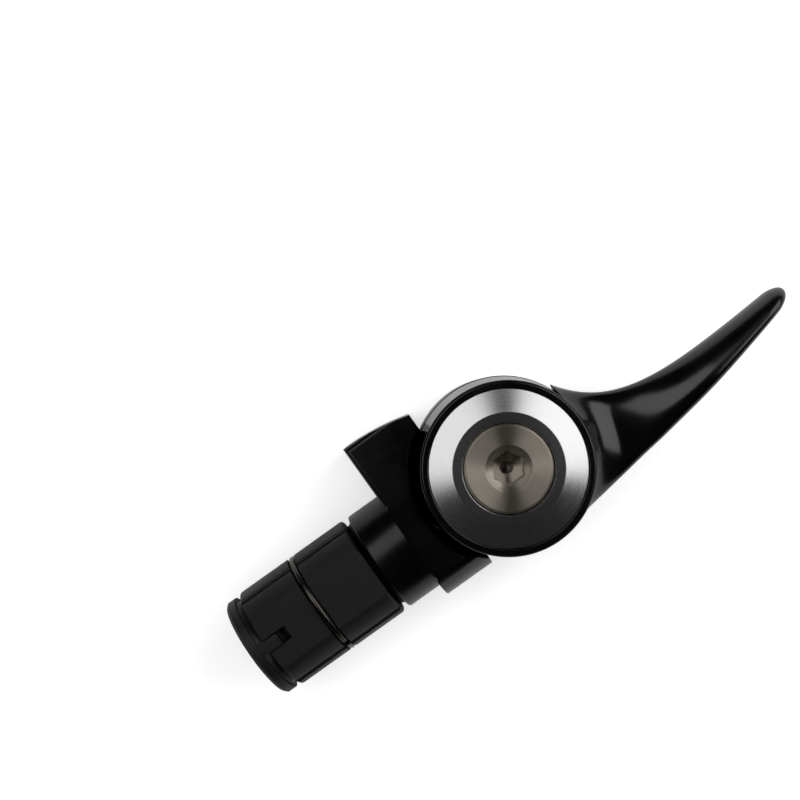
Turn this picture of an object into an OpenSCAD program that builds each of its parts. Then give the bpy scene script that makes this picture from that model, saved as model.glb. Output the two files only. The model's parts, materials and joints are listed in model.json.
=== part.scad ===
// Bar end shifter with a return lever: an expander plug, a housing with an indexed cable spool,
// and a forged lever.
// Frame: the origin is on the plug's axis at the shoulder that meets the bar's end. +X points
// towards the lever, +Y towards the cable lug, +Z along the lever's pivot and out through its
// cap bolt. The object lies on the flat back of its drum.
// The feature that takes the most skill is the ratchet drive with the swept lever over it:
// ratchets, pawls, springs and stops on one pivot, each clear of the others over its travel.

/* [Plug] */
// Diameter of the neck between shoulder and jaws
neck_d = 18.4; // [16:0.1:20]
// Length of the neck
neck_len = 6.5; // [5:0.1:10]
// Outer diameter of the relaxed jaws
jaw_d = 18.6; // [17.4:0.1:21]
// Length of the jaws
jaw_len = 21.5; // [17:0.1:28]
// Bore of the jaws
jaw_bore_d = 12.4; // [11:0.1:13]
// Gap between the relaxed jaws and the neck, and between the jaws and the flange
jaw_gap = 1.05; // [0.9:0.05:1.5]
// Half angle of the cones that spread the jaws
cone_angle = 30; // [24:1:36]
// Width of the saw cuts between the jaws
kerf = 0.5; // [0.3:0.1:0.8]
// Thickness of the wedge nut's flange
flange_t = 1.9; // [1.4:0.1:3]
// Width of the tabs on the wedge nut
tab_w = 2.0; // [1.4:0.1:3]
// Wire diameter of the ring that holds the jaws
ring_wire_d = 1.1; // [0.8:0.1:1.4]
// Draw of the wedge nut from relaxed to tight
wedge_draw = 1.4; // [0.8:0.1:1.6]
// Thread diameter of the expander bolt
expander_d = 6; // [5:0.5:7]

/* [Housing] */
// Diameter of the collar, flush with the bar
collar_d = 22.4; // [20:0.1:26]
// Length of the collar
collar_len = 9.2; // [8:0.1:12]
// Distance of the lever's pivot from the shoulder
pivot_x = 20.2; // [20.2:0.1:25]
// Offset of the lever's pivot towards the lug
pivot_y = 1.25; // [0:0.05:2]
// Outer diameter of the drum
drum_d = 30.2; // [30:0.1:36.3]
// Wall of the drum at its lower bore
drum_wall = 1.6; // [1.2:0.1:2.4]
// Depth of the drum's back below the plug's axis
back_depth = 12; // [12:0.1:14.4]
// Height of the drum's rim above the plug's axis
rim_z = 3.2; // [3:0.1:4]
// Floor of the drum
floor_t = 2.6; // [2.2:0.1:3.2]
// Reach of the lug's outer face from the plug's axis
lug_reach = 19.1; // [18:0.1:23]
// Length of the lug along the bar
lug_len = 12.2; // [11:0.1:14.6]
// Bore for the cable housing's end
cable_bore_d = 5.2; // [4.4:0.1:5.6]

/* [Lever] */
// Distance from the pivot to the lever's tip
lever_reach = 54.2; // [45:0.1:66]
// Height of the lever's head
head_h = 10.7; // [10.7:0.1:13]
// Narrowing of the head's radius from its base to its rim
head_taper = 0.8; // [0.4:0.1:1.2]
// Outer diameter of the face ring
face_ring_d = 25.7; // [24:0.1:26.2]
// Height of the face ring's inner edge over the head's deck
face_ring_h = 2.8; // [2.2:0.1:3.4]
// Slope of the face ring's bevel in degrees
face_bevel = 16; // [8:1:24]
// Diameter of the cap bolt's head
cap_d = 14.5; // [13.6:0.1:15]
// Hex key size of the cap bolt and the expander bolt
hex_af = 5; // [4:0.5:5.5]

/* [Mechanism] */
// Radius at which the cable lies on the spool
cable_r = 12.4; // [12:0.1:12.6]
// Diameter of the cable
wire_d = 1.2; // [1.1:0.1:1.6]
// Teeth in a full turn of each ratchet
ratchet_teeth = 25; // [21:1:30]
// Radius of the ratchets' tooth tips
ratchet_tip_r = 8.6; // [8.3:0.1:8.8]
// Depth of the ratchets' teeth
tooth_depth = 0.9; // [0.7:0.1:1]
// Lever travel in clicks when it pulls cable
pull_clicks = 3; // [2:1:4]
// Lever travel in clicks when it releases cable
release_clicks = 1; // [1:1:2]
// Angle by which a resting pawl is lifted clear of the teeth
pawl_lift = 9; // [8:1:11]
// Diameter of the sleeve that carries the lever and the spool
sleeve_d = 11; // [10:0.1:11.4]
// Diameter of the pawl pins
pawl_pin_d = 2; // [1.6:0.1:2.2]
// Diameter of the stop pin and the spring post
stop_pin_d = 1.8; // [1.4:0.1:2]
// Wire diameter of the centring spring
spring_wire_d = 1.0; // [0.7:0.1:1.1]

/* [Hidden] */
$fn = 96;

// Clearances: radial for a running fit, for parts that pass each other, and for thin air gaps
run_fit = 0.05;
pass_gap = 0.3;
thin_gap = 0.1;
// Overshoot of a cutting shape past the face it cuts
cut = 1;

// Plug, from the shoulder towards the flange
neck_r = neck_d / 2;
jaw_r = jaw_d / 2;
jaw_bore_r = jaw_bore_d / 2;
jaw_edge = 0.6;
jaw_front_x = -(neck_len + jaw_gap);
jaw_back_x = jaw_front_x - jaw_len;
flange_x = jaw_back_x - jaw_gap;
flange_r = jaw_r - 0.2;
seat_r = jaw_r - 1.2;
cone_run = (seat_r - jaw_bore_r) / tan(cone_angle);
cone_shrink = pass_gap / cos(cone_angle);
notch_w = tab_w + 0.4;
notch_depth = 4.4;
tab_reach = 2.6;
groove_w = ring_wire_d + 0.3;
ring_r = jaw_r - ring_wire_d / 2;
groove_r = ring_r - ring_wire_d / 2 - 0.45;
groove_x = (jaw_front_x + jaw_back_x) / 2;
expander_r = expander_d / 2;
bolt_head_r = 4.6;
bolt_head_len = 4;
washer_t = 0.6;
bolt_seat_x = -0.3;
bolt_end_x = flange_x + 1.6;

// Heights along the pivot, from the back upwards
back_z = -back_depth;
floor_z = back_z + floor_t;
nut_recess = 1.5;
spool_washer_t = 0.35;
spool_z = floor_z + 0.5;
spring_room = 1;
spool_h = 5;
cable_z = spool_z + 3;
hold_z = spool_z + spool_h;
ratchet_t = 2;
index_z = hold_z + ratchet_t + 0.4;
index_t = 1;
circlip_z = index_z + index_t;
circlip_t = 0.8;
drive_z = hold_z + ratchet_t;
drive_top_z = rim_z - 0.2;
pawl_t = 1.9;
hold_pawl_z = hold_z + 0.15;
drive_pawl_z = circlip_z + circlip_t + 0.4;
head_z = rim_z + 0.5;
plate_t = 1;
plate_top_z = head_z + plate_t;
deck_t = 2;
rim_top_z = head_z + head_h;
deck_z = rim_top_z - 2;
ceiling_z = deck_z - deck_t;
cap_washer_t = 0.35;
cap_seat_z = deck_z + cap_washer_t + run_fit;
cap_top_z = cap_seat_z + 2.2;

// Radii about the pivot
drum_r = drum_d / 2;
cup_r = drum_r - drum_wall;
rim_bore_r = cup_r + 0.4;
spool_r = cup_r - pass_gap;
sleeve_r = sleeve_d / 2;
shoulder_r = sleeve_r - 1.1;
bore_r = sleeve_r + run_fit;
bushing_r = bore_r + 1.05;
hub_r = bushing_r + 1.2;
hub_foot_z = plate_top_z + run_fit;
head_r = drum_r - thin_gap;
head_rim_r = head_r - head_taper;
head_bore_r = head_r - 2.4;
plate_r = head_r - 1.4;
ring_bore_r = cap_d / 2 + pass_gap;
ring_outer_r = face_ring_d / 2;
root_r = ratchet_tip_r - tooth_depth;
dowel_circle_r = (bore_r + root_r) / 2;
dowel_r = (root_r - bore_r) * 0.325;
pitch_angle = 360 / ratchet_teeth;
pull_angle = pull_clicks * pitch_angle;
release_angle = release_clicks * pitch_angle;
pawl_pivot_r = ratchet_tip_r + 2.6;
pawl_boss_r = pawl_pin_d / 2 + 0.8;
pawl_span = 38;
hold_tooth = -10;
drive_tooth = 5;
hold_nose_angle = hold_tooth * pitch_angle;
drive_nose_angle = drive_tooth * pitch_angle;
stop_r = (ratchet_tip_r + cup_r) / 2 + 0.25;
stop_angle = 180;
pillar_r = 1.95;
pillar_angles = [20, 140, 260];
screw_r = 1;
pillar_circle_r = head_bore_r - 1.5;

// The pocket that clears the lever's head, cut down to the drum's rim
pocket_r = drum_r + 0.5;
key_notch_w = hex_af + 1.4;

// Lug and cable line
cable_y = pivot_y + cable_r;
cable_bore_r = cable_bore_d / 2;
cable_stop_len = 8;
lug_top_z = rim_z - 0.6;
lug_foot_z = back_z + 0.8;
lug_bulge_r = 45;
web_r = 4;

// Lever arm
arm_start = 6.8;
arm_run = lever_reach - arm_start;
arm_sides = 32;
arm_stations = 30;

function arc(centre, r, from, to, steps = 6) =
    [for (i = [0:steps]) let (a = from + (to - from) * i / steps)
        [centre[0] + r * cos(a), centre[1] + r * sin(a)]];
function polar(r, a) = [r * cos(a), r * sin(a)];
function unit(v) = v / norm(v);

module about_pivot(z = 0) {
    translate([pivot_x, pivot_y, z]) children();
}

module turned_on_plug() {
    rotate([0, 90, 0]) rotate_extrude() children();
}

// An outline in Y and Z, drawn out along X
module along_plug(x, length) {
    translate([x, 0, 0]) rotate([90, 0, 90]) linear_extrude(length) children();
}

module tube(inner_r, outer_r, z, h) {
    translate([0, 0, z]) difference() {
        cylinder(r = outer_r, h = h);
        translate([0, 0, -cut]) cylinder(r = inner_r, h = h + 2 * cut);
    }
}

module hex_hole(af, depth) {
    cylinder(r = af / sqrt(3), h = depth, $fn = 6);
}

// Neck with the cone that spreads the jaws, as a turned outline of radius and x
module neck_outline() {
    tip_x = jaw_front_x - cone_run - 0.3;
    polygon(concat(
        [[0, tip_x], [jaw_bore_r - cone_shrink - 0.17, tip_x],
            [seat_r - cone_shrink + jaw_gap * tan(cone_angle), -neck_len]],
        arc([neck_r - 0.4, -neck_len + 0.4], 0.4, -90, 0),
        [[neck_r, cut], [0, cut]]));
}

module collar_outline() {
    shoulder_edge = 1;
    far_edge = 0.5;
    collar_r = collar_d / 2;
    polygon(concat(
        [[0, 0]],
        arc([collar_r - shoulder_edge, shoulder_edge], shoulder_edge, -90, 0),
        arc([collar_r - far_edge, collar_len - far_edge], far_edge, 0, 90, 4),
        [[0, collar_len]]));
}

module drum_outline() {
    back_edge = 1.4;
    polygon(concat(
        [[0, back_z]],
        arc([drum_r - back_edge, back_z + back_edge], back_edge, -90, 0, 8),
        [[drum_r, rim_z + cut], [0, rim_z + cut]]));
}

// The lug is the meeting of its outlines from above, from the side and from the end
module lug() {
    foot_y = collar_d / 2 - 5;
    intersection() {
        along_plug(0, lug_len) polygon(concat(
            [[foot_y, lug_foot_z]],
            arc([lug_reach - 1.6, lug_foot_z + 1.6], 1.6, -90, 0),
            arc([lug_reach - 0.8, lug_top_z - 0.8], 0.8, 0, 90),
            [[foot_y, lug_top_z]]));
        translate([0, lug_reach - lug_bulge_r, lug_foot_z - cut])
            cylinder(r = lug_bulge_r, h = lug_top_z - lug_foot_z + 2 * cut, $fn = 180);
        translate([0, lug_reach + cut, 0]) rotate([90, 0, 0])
            linear_extrude(lug_reach) polygon(concat(
                [[lug_len, lug_foot_z - cut], [1, lug_foot_z - cut]],
                arc([1.2, lug_foot_z + 1.2], 1.2, 270, 180),
                arc([1.6, lug_top_z - 1.6], 1.6, 180, 90),
                [[lug_len, lug_top_z]]));
    }
}

// Hollow blend from the collar's flank down to the top of the lug
module lug_web() {
    collar_r = collar_d / 2;
    centre_z = lug_top_z + web_r;
    centre_y = sqrt((collar_r + web_r) * (collar_r + web_r) - centre_z * centre_z);
    meet = [centre_y, centre_z] * collar_r / (collar_r + web_r);
    along_plug(1, lug_len - 1) difference() {
        polygon([[meet[0] - 3, lug_top_z - 2], meet - [0.6, 0.3], meet, [centre_y, centre_z],
            [centre_y, lug_top_z - 2]]);
        translate([centre_y, centre_z]) circle(r = web_r);
    }
}

// Room for the lever's head, with a filleted floor and a wall that flares to the collar's crest
module head_pocket() {
    floor_edge = 0.8;
    crest_z = collar_d / 2;
    flare = 1.6;
    rotate_extrude() polygon(concat(
        [[0, rim_z]],
        arc([pocket_r - floor_edge, rim_z + floor_edge], floor_edge, -90, -8),
        arc([pocket_r + 0.35 + flare, crest_z - flare - 0.4], flare, 188, 100, 8),
        [[pocket_r + 3, crest_z + cut], [0, crest_z + cut]]));
}

module drum_cavity() {
    ledge_z = index_z;
    rotate_extrude() polygon([
        [0, floor_z], [cup_r, floor_z], [cup_r, ledge_z], [rim_bore_r, ledge_z],
        [rim_bore_r, circlip_z], [rim_bore_r + 0.55, circlip_z],
        [rim_bore_r + 0.55, circlip_z + circlip_t], [rim_bore_r, circlip_z + circlip_t],
        [rim_bore_r, rim_z + cut], [0, rim_z + cut]]);
}

module housing() {
    color([0.05, 0.05, 0.055]) difference() {
        union() {
            turned_on_plug() neck_outline();
            turned_on_plug() collar_outline();
            lug();
            lug_web();
            about_pivot() rotate_extrude() drum_outline();
        }
        about_pivot() head_pocket();
        about_pivot() drum_cavity();
        // passage and head seat of the expander bolt
        translate([jaw_front_x - cone_run - cut, 0, 0]) rotate([0, 90, 0])
            cylinder(r = expander_r + 0.2, h = neck_len + cone_run + 2 * cut + jaw_gap);
        translate([bolt_seat_x, 0, 0]) rotate([0, 90, 0])
            cylinder(r = bolt_head_r + 0.4, h = pivot_x - cup_r + 2.4);
        // stop bore for the cable housing, and the wire's way on to the spool
        translate([-cut, cable_y, cable_z]) rotate([0, 90, 0])
            cylinder(r = cable_bore_r, h = cable_stop_len + cut);
        translate([0, cable_y, cable_z]) rotate([0, 90, 0])
            cylinder(r = wire_d / 2 + 1, h = pivot_x - 2);
        // seat of the pivot nut in the back
        about_pivot(back_z - cut) cylinder(r = shoulder_r + 2.2, h = nut_recess + cut);
        about_pivot(back_z) cylinder(r = shoulder_r + run_fit, h = floor_t + cut);
        // notch in the front rim for the plate's tab, and for the key to the expander bolt
        translate([pivot_x + cup_r - 2, -key_notch_w / 2, -key_notch_w / 2])
            cube([drum_wall + 4, key_notch_w, rim_z + key_notch_w]);
    }
}

module pivot_nut() {
    flange_t = nut_recess - 0.2;
    color([0.55, 0.55, 0.57]) about_pivot() difference() {
        union() {
            translate([0, 0, back_z + nut_recess - flange_t])
                cylinder(r = shoulder_r + 2.1, h = flange_t);
            translate([0, 0, back_z + nut_recess - thin_gap])
                cylinder(r = shoulder_r, h = hold_z - back_z - nut_recess + thin_gap);
        }
        translate([0, 0, back_z]) cylinder(r = 3, h = back_depth + hold_z + cut);
        translate([-8, -0.8, back_z - cut]) cube([16, 1.6, cut + 0.9]);
    }
}

module pivot_sleeve() {
    color([0.62, 0.62, 0.64]) about_pivot()
        tube(shoulder_r + thin_gap, sleeve_r, floor_z, cap_seat_z - floor_z);
}

module cap_bolt() {
    cap_r = cap_d / 2;
    edge = 0.35;
    sink = 1.1;
    mouth_r = 3.8;
    thread_z = hold_z + 0.3;
    color([0.68, 0.66, 0.63]) about_pivot() difference() {
        rotate_extrude() polygon([
            [0, back_z + nut_recess + 0.6], [2.95, back_z + nut_recess + 0.6],
            [2.95, thread_z], [shoulder_r, thread_z],
            [shoulder_r, cap_seat_z], [cap_r, cap_seat_z],
            [cap_r, cap_top_z - edge], [cap_r - edge, cap_top_z],
            [mouth_r, cap_top_z - 0.12], [hex_af / 2 + 0.2, cap_top_z - sink],
            [0, cap_top_z - sink]]);
        translate([0, 0, cap_top_z - 5]) hex_hole(hex_af, 5 + cut);
        translate([0, 0, cap_top_z - 9.5]) cylinder(r = 1.05, h = 6);
    }
}

module spool_washer() {
    color([0.72, 0.6, 0.38]) about_pivot()
        tube(bore_r, sleeve_r + 2.5, floor_z + run_fit, spool_washer_t);
}

module thrust_washer() {
    color([0.72, 0.6, 0.38]) about_pivot()
        tube(bore_r, sleeve_r + 1.9, drive_top_z + thin_gap, 0.5);
}

// Fixed plate on the ledge in the drum: it carries the holding pawl and the stop pin
module index_plate() {
    window_r = ratchet_tip_r + 0.5;
    color([0.6, 0.6, 0.62]) about_pivot(index_z) difference() {
        union() {
            cylinder(r = rim_bore_r - thin_gap, h = index_t);
            translate([rim_bore_r - 2, -pivot_y - key_notch_w / 2 + 0.2, 0])
                cube([drum_r - rim_bore_r + 1.6, key_notch_w - 0.4, index_t]);
        }
        translate([0, 0, -cut]) cylinder(r = window_r, h = index_t + 2 * cut);
        rotate(hold_nose_angle + pawl_span) translate([pawl_pivot_r, 0, -cut])
            cylinder(r = pawl_pin_d / 2, h = index_t + 2 * cut);
        rotate(stop_angle) translate([stop_r, 0, -cut])
            cylinder(r = stop_pin_d / 2, h = index_t + 2 * cut);
    }
}

module plate_circlip() {
    opening = 30;
    color([0.3, 0.3, 0.32]) about_pivot(circlip_z + 0.02) rotate(60 + opening / 2)
        rotate_extrude(angle = 360 - opening) polygon([
            [rim_bore_r - 1.3, 0], [rim_bore_r + 0.5, 0],
            [rim_bore_r + 0.5, circlip_t - thin_gap], [rim_bore_r - 1.3, circlip_t - thin_gap]]);
}

module pawl_pin(nose_angle, z, h) {
    color([0.7, 0.7, 0.72]) about_pivot(z) rotate(nose_angle + pawl_span)
        translate([pawl_pivot_r, 0, 0]) cylinder(r = pawl_pin_d / 2, h = h);
}

module hold_pawl_pin() {
    pawl_pin(hold_nose_angle, hold_pawl_z, index_z + index_t - hold_pawl_z);
}

module drive_pawl_pin() {
    pawl_pin(drive_nose_angle, drive_pawl_z, plate_top_z - drive_pawl_z);
}

module stop_pin() {
    stop_top_z = plate_top_z + 2.1;
    color([0.7, 0.7, 0.72]) about_pivot(index_z) rotate(stop_angle)
        translate([stop_r, 0, 0]) cylinder(r = stop_pin_d / 2, h = stop_top_z - index_z);
}

module rim_seal() {
    color([0.08, 0.08, 0.08]) about_pivot()
        tube(rim_bore_r - 0.45, rim_bore_r, rim_z - 0.3, 0.65);
}

module cable_guide() {
    guide_len = 3.4;
    color([0.85, 0.85, 0.82]) translate([cable_stop_len, cable_y, cable_z])
        rotate([0, 90, 0]) tube(wire_d / 2 + 0.15, wire_d / 2 + 0.97, 0, guide_len);
}

// Pawl outline about the pivot, nose in the root of the tooth at angle 0, its pin at pawl_span.
// Rotated about its pin by the lift angle, it clears the teeth.
module pawl_outline(lift) {
    pin = polar(pawl_pivot_r, pawl_span);
    nose_a = 1.2;
    translate(pin) rotate(lift) translate(-pin) difference() {
        union() {
            polygon([
                polar(root_r + 0.25, nose_a), polar(ratchet_tip_r + 0.9, nose_a),
                polar(ratchet_tip_r + 2.4, pawl_span * 0.42),
                pin + pawl_boss_r * polar(1, pawl_span - 25),
                pin + pawl_boss_r * polar(1, pawl_span + 175),
                polar(ratchet_tip_r + 0.35, nose_a + 10.5)]);
            translate(pin) circle(r = pawl_boss_r);
        }
        translate(pin) circle(r = pawl_pin_d / 2 + run_fit);
    }
}

module pawl(nose_angle, z) {
    color([0.5, 0.5, 0.52]) about_pivot(z) rotate(nose_angle)
        linear_extrude(pawl_t) pawl_outline(pawl_lift);
}

module hold_pawl() {
    pawl(hold_nose_angle, hold_pawl_z);
}

module drive_pawl() {
    pawl(drive_nose_angle, drive_pawl_z);
}

// Leaf spring that passes the pawl's boss and bears on the pawl's back. Its foot stands up to
// the plate that carries the pawl.
module pawl_leaf(nose_angle, z, outer_r, plate_z) {
    leaf_t = 0.22;
    from_a = 12;
    foot_a = 70;
    to_a = 78;
    steps = 16;
    function leaf_r(a) = outer_r - leaf_t - 0.9 * pow(max(0, (34 - a) / 22), 2);
    function leaf(low, high, n) = concat(
        [for (i = [0:n]) let (a = low + (high - low) * i / n) polar(leaf_r(a), a)],
        [for (i = [n:-1:0]) let (a = low + (high - low) * i / n) polar(leaf_r(a) + leaf_t, a)]);
    color([0.75, 0.75, 0.78]) about_pivot(z + 0.4) rotate(nose_angle) {
        linear_extrude(pawl_t - 0.8) polygon(leaf(from_a, to_a, steps));
        linear_extrude(plate_z - z - 0.4) polygon(leaf(foot_a, to_a, 2));
    }
}

module hold_pawl_spring() {
    pawl_leaf(hold_nose_angle, hold_pawl_z, cup_r - 0.06, index_z);
}

module drive_pawl_spring() {
    pawl_leaf(drive_nose_angle, drive_pawl_z, rim_bore_r - 0.55, head_z);
}

module expander_bolt() {
    color([0.28, 0.28, 0.3]) difference() {
        union() {
            translate([bolt_end_x, 0, 0]) rotate([0, 90, 0])
                cylinder(r = expander_r, h = bolt_seat_x + washer_t - bolt_end_x);
            translate([bolt_seat_x + washer_t, 0, 0]) rotate([0, 90, 0])
                cylinder(r = bolt_head_r, h = bolt_head_len);
        }
        translate([bolt_seat_x + washer_t + bolt_head_len - 2.4, 0, 0]) rotate([0, 90, 0])
            hex_hole(hex_af, 2.4 + cut);
    }
}

module bolt_washer() {
    color([0.6, 0.6, 0.62]) translate([bolt_seat_x, 0, 0]) rotate([0, 90, 0])
        tube(expander_r + run_fit, bolt_head_r + 0.2, 0, washer_t);
}

// Flange, cone and three tabs that keep the nut from turning in the jaws
module wedge_nut() {
    cone_top_r = seat_r - cone_shrink + jaw_gap * tan(cone_angle);
    cone_end_x = jaw_back_x + cone_run + 0.3;
    hub_len = 2.6;
    color([0.06, 0.06, 0.06]) difference() {
        union() {
            turned_on_plug() polygon([
                [0, flange_x - flange_t], [flange_r - 0.5, flange_x - flange_t],
                [flange_r, flange_x - flange_t + 0.5], [flange_r, flange_x],
                [cone_top_r, flange_x], [jaw_bore_r - cone_shrink - 0.17, cone_end_x],
                [jaw_bore_r - cone_shrink - 0.17, cone_end_x + hub_len],
                [0, cone_end_x + hub_len]]);
            for (i = [0:2]) rotate([120 * i, 0, 0]) intersection() {
                translate([flange_x - thin_gap, -tab_w / 2, jaw_bore_r - 1.4])
                    cube([jaw_gap + tab_reach + thin_gap, tab_w, jaw_r]);
                turned_on_plug() polygon([[0, flange_x - cut], [flange_r - 0.1, flange_x - cut],
                    [flange_r - 0.1, 0], [0, 0]]);
            }
        }
        translate([flange_x - flange_t - cut, 0, 0]) rotate([0, 90, 0])
            cylinder(r = expander_r + run_fit, h = flange_t + cone_end_x - flange_x + hub_len + 3);
    }
}

// One third of the split collet, pointing along +Z before it is turned to its place
module jaw(turn) {
    split_edge = 0.45;
    side = 60;
    apex = kerf / 2 / sin(side);
    inner = [0, apex] + (jaw_r - split_edge) * [sin(side), cos(side)];
    outer = [0, apex] + (jaw_r + 2) * [sin(side - 14), cos(side - 14)];
    color([0.1, 0.1, 0.1]) rotate([turn, 0, 0]) difference() {
        intersection() {
            turned_on_plug() polygon(concat(
                [[jaw_bore_r, jaw_back_x + cone_run], [seat_r, jaw_back_x]],
                arc([jaw_r - jaw_edge, jaw_back_x + jaw_edge], jaw_edge, -90, 0),
                arc([jaw_r - jaw_edge, jaw_front_x - jaw_edge], jaw_edge, 0, 90),
                [[seat_r, jaw_front_x], [jaw_bore_r, jaw_front_x - cone_run]]));
            along_plug(jaw_back_x - cut, jaw_len + 2 * cut) polygon([
                [0, apex], inner, outer, [-outer[0], outer[1]], [-inner[0], inner[1]]]);
        }
        turned_on_plug() polygon([
            [groove_r, groove_x - groove_w / 2], [jaw_r + cut, groove_x - groove_w / 2],
            [jaw_r + cut, groove_x + groove_w / 2], [groove_r, groove_x + groove_w / 2]]);
        translate([jaw_back_x - cut, -notch_w / 2, jaw_bore_r - 3])
            cube([notch_depth + cut, notch_w, jaw_r]);
    }
}

module jaw_1() {
    jaw(0);
}

module jaw_2() {
    jaw(120);
}

module jaw_3() {
    jaw(240);
}

module jaw_ring() {
    opening = 10;
    color([0.6, 0.55, 0.45]) translate([groove_x, 0, 0]) rotate([0, 90, 0])
        rotate(240) rotate_extrude(angle = 360 - opening)
            translate([ring_r, 0]) circle(r = ring_wire_d / 2, $fn = 24);
}

// Lever arm. Along the arm, t runs from 0 inside the head to 1 at the tip.
function arm_u(t) = arm_start + arm_run * t;
function arm_low(t) = -13.55 + 5.7 * t + 3.5 * t * t;
function arm_high(t) = min(-4.87 + 3.7 * t + 29.65 * exp(-6.58 * t),
    sqrt(max(1, (head_r - 0.5) * (head_r - 0.5) - arm_u(t) * arm_u(t))));
function arm_edge(t) = max(-4.87 + 3.7 * t + 29.65 * exp(-6.58 * t), arm_low(t) + 1);
function arm_left(t) = arm_u(t) < head_r - 1.2
    ? min(arm_edge(t), sqrt((head_r - 0.4) * (head_r - 0.4) - arm_u(t) * arm_u(t)))
    : arm_edge(t);
function smooth(t) = let (s = min(1, max(0, t))) s * s * (3 - 2 * s);
// Top and underside of the arm, over the plug's axis
function arm_top(t) = rim_top_z - 2.5 + 1.1 * smooth(t / 0.55) - 0.4 * smooth((t - 0.5) / 0.5);
function arm_foot(t) = head_z + 0.3 + 1.1 * smooth(t);
// How far the section has closed at the rounded tip: 1 along the arm, almost 0 at the end
function tip_close(t, length) =
    sqrt(max(0.012, 1 - pow(max(0, 1 - (1 - t) * arm_run / length), 2)));
// The head's rim flows down into the arm in a hollow
function rim_flow(u, v) = (rim_top_z - 0.25 - arm_top(0.1))
    * exp(-pow(max(0, (norm([u, v]) - head_rim_r + 0.2) / 2.3), 2));
function soft_cos(a, p) = sign(cos(a)) * pow(abs(cos(a)), p);
function soft_sin(a, p) = sign(sin(a)) * pow(abs(sin(a)), p);
function arm_point(t, a) =
    let (squareness = 0.62 + 0.3 * t,
        mid_v = (arm_left(t) + arm_low(t)) / 2,
        half_v = (arm_left(t) - arm_low(t)) / 2 * tip_close(t, 2.3),
        mid_z = (arm_top(t) + arm_foot(t)) / 2,
        half_z = (arm_top(t) - arm_foot(t)) / 2 * tip_close(t, 5.5),
        v = mid_v + half_v * soft_cos(a, squareness),
        lift = max(0, soft_sin(a, squareness)),
        dish = 0.9 * smooth(1 - t / 0.45) * pow(max(0, sin(a)), 3))
    [arm_u(t), v, mid_z + half_z * soft_sin(a, squareness) - dish
        + rim_flow(arm_u(t), v) * lift];

module lever_arm() {
    n = arm_sides;
    rings = [for (i = [0:arm_stations]) sin(90 * i / arm_stations)];
    points = [for (t = rings) for (k = [0:n - 1]) arm_point(t, 360 * (k + 0.5) / n)];
    faces = concat(
        [[for (k = [0:n - 1]) k]],
        [for (i = [0:arm_stations - 1]) for (k = [0:n - 1])
            let (a = i * n + k, b = i * n + (k + 1) % n) [a, a + n, b]],
        [for (i = [0:arm_stations - 1]) for (k = [0:n - 1])
            let (a = i * n + k, b = i * n + (k + 1) % n) [b, a + n, b + n]],
        [[for (k = [n - 1:-1:0]) arm_stations * n + k]]);
    polyhedron(points, faces, convexity = 4);
}

module head_outline() {
    lip = 0.35;
    polygon(concat(
        [[0, head_z]],
        arc([head_r - 0.5, head_z + 0.5], 0.5, -90, 0, 4),
        arc([head_rim_r - lip, rim_top_z - lip], lip, 4, 90, 4),
        [[0, rim_top_z]]));
}

module head_cavity() {
    difference() {
        union() {
            translate([0, 0, head_z - cut]) cylinder(r = plate_r + thin_gap, h = plate_t + cut);
            translate([0, 0, head_z]) cylinder(r = head_bore_r, h = ceiling_z - head_z);
        }
        translate([0, 0, hub_foot_z]) cylinder(r = hub_r, h = ceiling_z);
        for (a = pillar_angles) rotate(a) translate([pillar_circle_r, 0, plate_top_z])
            cylinder(r = pillar_r, h = ceiling_z);
    }
}

module shift_lever() {
    color([0.04, 0.04, 0.045]) about_pivot() difference() {
        union() {
            rotate_extrude() head_outline();
            lever_arm();
        }
        head_cavity();
        translate([0, 0, deck_z]) cylinder(r = ring_outer_r + thin_gap, h = rim_top_z);
        cylinder(r = bushing_r, h = rim_top_z);
        for (a = pillar_angles) rotate(a) translate([pillar_circle_r, 0, 0])
            cylinder(r = screw_r, h = ceiling_z - 1.2);
        rotate(stop_angle) translate([stop_r, 0, ceiling_z - cut])
            cylinder(r = stop_pin_d / 2, h = cut + 1.4);
    }
}

module face_ring() {
    flat_w = ring_outer_r - ring_bore_r > 4 ? 1.55 : 1;
    bevel_run = ring_outer_r - ring_bore_r - flat_w;
    top_z = deck_z + face_ring_h;
    color([0.86, 0.87, 0.88]) about_pivot() rotate_extrude() polygon([
        [ring_bore_r, deck_z], [ring_outer_r, deck_z],
        [ring_outer_r, top_z - bevel_run * tan(face_bevel)],
        [ring_bore_r + flat_w, top_z], [ring_bore_r + 0.2, top_z], [ring_bore_r, top_z - 0.2]]);
}

module lever_bushing() {
    color([0.72, 0.6, 0.38]) about_pivot()
        tube(bore_r, bushing_r, head_z + run_fit, deck_z - head_z - run_fit);
}

module cap_washer() {
    color([0.72, 0.6, 0.38]) about_pivot() tube(bore_r, cap_d / 2 - 0.1, deck_z, cap_washer_t);
}

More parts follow.
